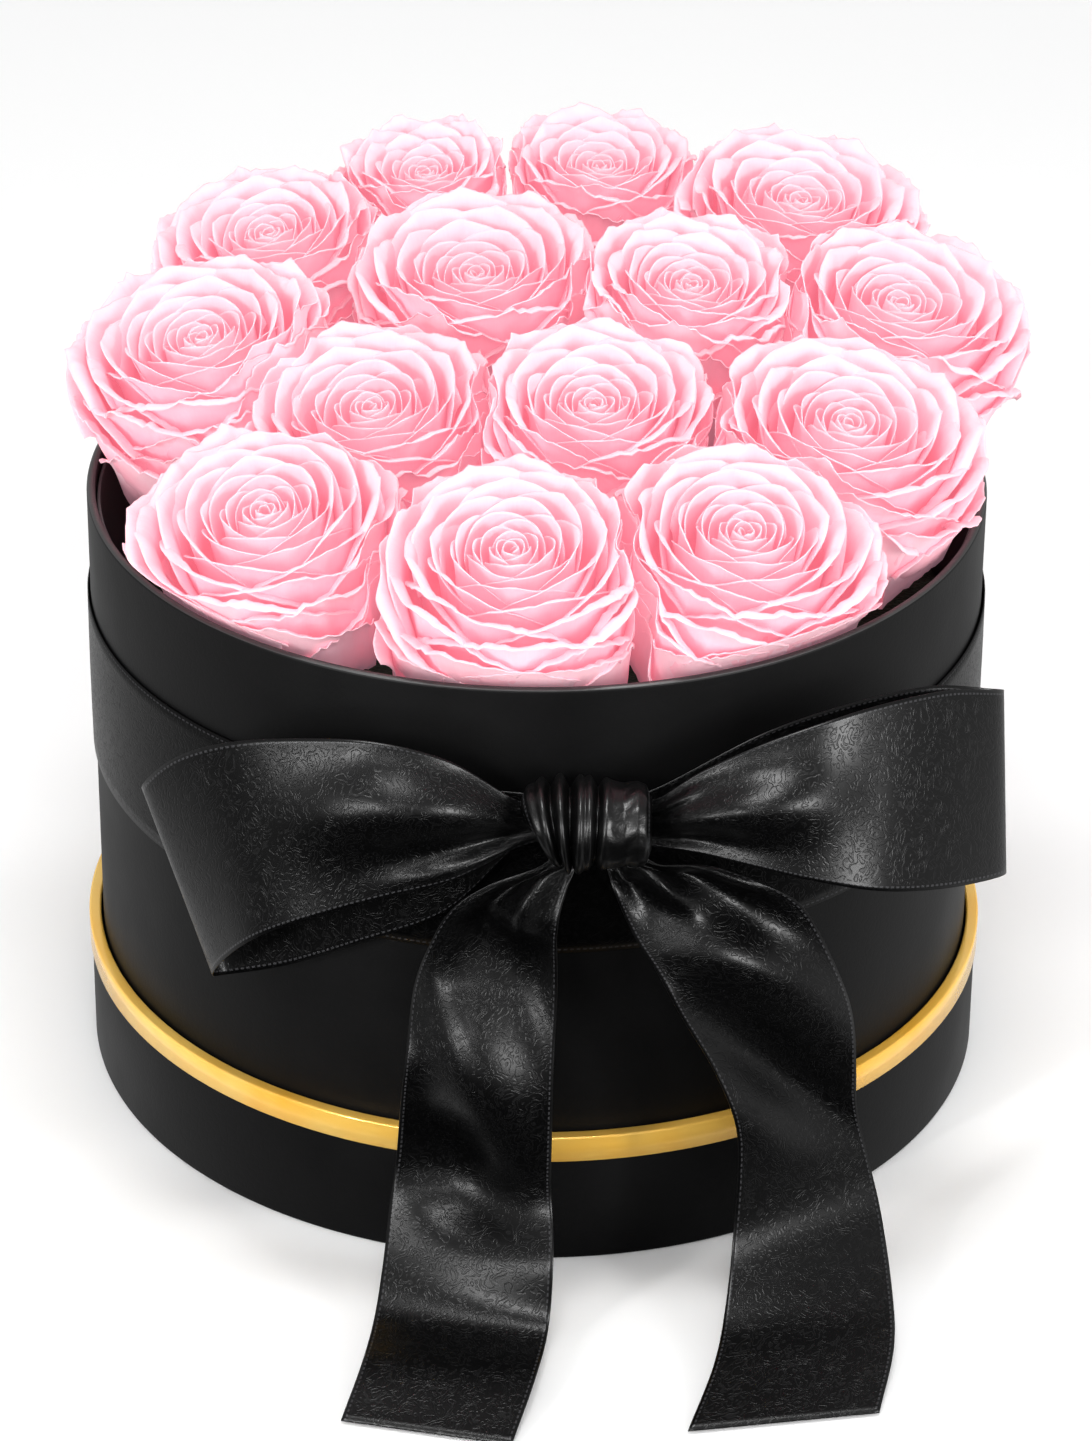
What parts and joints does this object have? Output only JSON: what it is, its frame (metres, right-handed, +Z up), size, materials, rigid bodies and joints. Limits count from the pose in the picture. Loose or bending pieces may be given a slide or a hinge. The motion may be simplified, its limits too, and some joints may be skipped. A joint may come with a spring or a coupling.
{
  "type": "flower box",
  "caption": "Round black hat-style box standing in its upturned gold-edged lid, filled with pink roses held in foam and tied with a wide satin ribbon and bow.",
  "frame": {"origin": "centre of the lid panel's underside, which is the face the whole object stands on", "axes": "+Z up along the box's axis, the bow and ribbon tails towards -Y, +X to the right of somebody facing the bow"},
  "size_m": [0.2274, 0.3021, 0.2034],
  "materials": {
    "board_black": "satin",
    "lining_black": "matte",
    "gold_foil": "polished",
    "foam_green": "matte",
    "petal_pink": "matte",
    "stem_green": "matte",
    "satin_black": "satin"
  },
  "bodies": {
    "lid": {"lid_panel": "board_black", "lid_wall": "board_black", "lid_gold_band": "gold_foil"},
    "box": {"box_wall": "board_black", "box_floor": "board_black", "box_lining": "lining_black", "foam_block": "foam_green", "ribbon_band": "satin_black", "bow_knot": "satin_black", "bow_loop_left": "satin_black", "bow_loop_right": "satin_black", "bow_tail_left": "satin_black", "bow_tail_right": "satin_black"},
    "rose_front": {"rose_front_bloom": "petal_pink", "rose_front_stem": "stem_green"},
    "rose_front_right": {"rose_front_right_bloom": "petal_pink", "rose_front_right_stem": "stem_green"},
    "rose_right_low": {"rose_right_low_bloom": "petal_pink", "rose_right_low_stem": "stem_green"},
    "rose_right_high": {"rose_right_high_bloom": "petal_pink", "rose_right_high_stem": "stem_green"},
    "rose_back_right": {"rose_back_right_bloom": "petal_pink", "rose_back_right_stem": "stem_green"},
    "rose_back": {"rose_back_bloom": "petal_pink", "rose_back_stem": "stem_green"},
    "rose_back_left": {"rose_back_left_bloom": "petal_pink", "rose_back_left_stem": "stem_green"},
    "rose_left_high": {"rose_left_high_bloom": "petal_pink", "rose_left_high_stem": "stem_green"},
    "rose_left_low": {"rose_left_low_bloom": "petal_pink", "rose_left_low_stem": "stem_green"},
    "rose_front_left": {"rose_front_left_bloom": "petal_pink", "rose_front_left_stem": "stem_green"},
    "rose_inner_back_left": {"rose_inner_back_left_bloom": "petal_pink", "rose_inner_back_left_stem": "stem_green"},
    "rose_inner_back_right": {"rose_inner_back_right_bloom": "petal_pink", "rose_inner_back_right_stem": "stem_green"},
    "rose_inner_front_left": {"rose_inner_front_left_bloom": "petal_pink", "rose_inner_front_left_stem": "stem_green"},
    "rose_inner_front_right": {"rose_inner_front_right_bloom": "petal_pink", "rose_inner_front_right_stem": "stem_green"}
  },
  "joints": [
    {"name": "box_lift", "type": "slide", "parent": "lid", "child": "box", "axis": [0, 0, 1], "range_m": [0, 0.05]},
    {"name": "rose_front_pull", "type": "slide", "parent": "box", "child": "rose_front", "axis": [-0.0291, -0.305, 0.9519], "range_m": [0, 0.06]},
    {"name": "rose_front_right_pull", "type": "slide", "parent": "box", "child": "rose_front_right", "axis": [0.1716, -0.2641, 0.9491], "range_m": [0, 0.06]},
    {"name": "rose_right_low_pull", "type": "slide", "parent": "box", "child": "rose_right_low", "axis": [0.2747, -0.0861, 0.9577], "range_m": [0, 0.06]},
    {"name": "rose_right_high_pull", "type": "slide", "parent": "box", "child": "rose_right_high", "axis": [0.3085, 0.115, 0.9443], "range_m": [0, 0.06]},
    {"name": "rose_back_right_pull", "type": "slide", "parent": "box", "child": "rose_back_right", "axis": [0.2093, 0.2708, 0.9396], "range_m": [0, 0.06]},
    {"name": "rose_back_pull", "type": "slide", "parent": "box", "child": "rose_back", "axis": [0.0565, 0.3494, 0.9353], "range_m": [0, 0.06]},
    {"name": "rose_back_left_pull", "type": "slide", "parent": "box", "child": "rose_back_left", "axis": [-0.0986, 0.3385, 0.9358], "range_m": [0, 0.06]},
    {"name": "rose_left_high_pull", "type": "slide", "parent": "box", "child": "rose_left_high", "axis": [-0.2352, 0.2511, 0.9389], "range_m": [0, 0.06]},
    {"name": "rose_left_low_pull", "type": "slide", "parent": "box", "child": "rose_left_low", "axis": [-0.2996, 0.0636, 0.952], "range_m": [0, 0.06]},
    {"name": "rose_front_left_pull", "type": "slide", "parent": "box", "child": "rose_front_left", "axis": [-0.2225, -0.2212, 0.9495], "range_m": [0, 0.06]},
    {"name": "rose_inner_back_left_pull", "type": "slide", "parent": "box", "child": "rose_inner_back_left", "axis": [-0.0579, 0.17, 0.9838], "range_m": [0, 0.06]},
    {"name": "rose_inner_back_right_pull", "type": "slide", "parent": "box", "child": "rose_inner_back_right", "axis": [0.133, 0.1146, 0.9845], "range_m": [0, 0.06]},
    {"name": "rose_inner_front_left_pull", "type": "slide", "parent": "box", "child": "rose_inner_front_left", "axis": [-0.1401, -0.0449, 0.9891], "range_m": [0, 0.06]},
    {"name": "rose_inner_front_right_pull", "type": "slide", "parent": "box", "child": "rose_inner_front_right", "axis": [0.0569, -0.0688, 0.996], "range_m": [0, 0.06]}
  ]
}
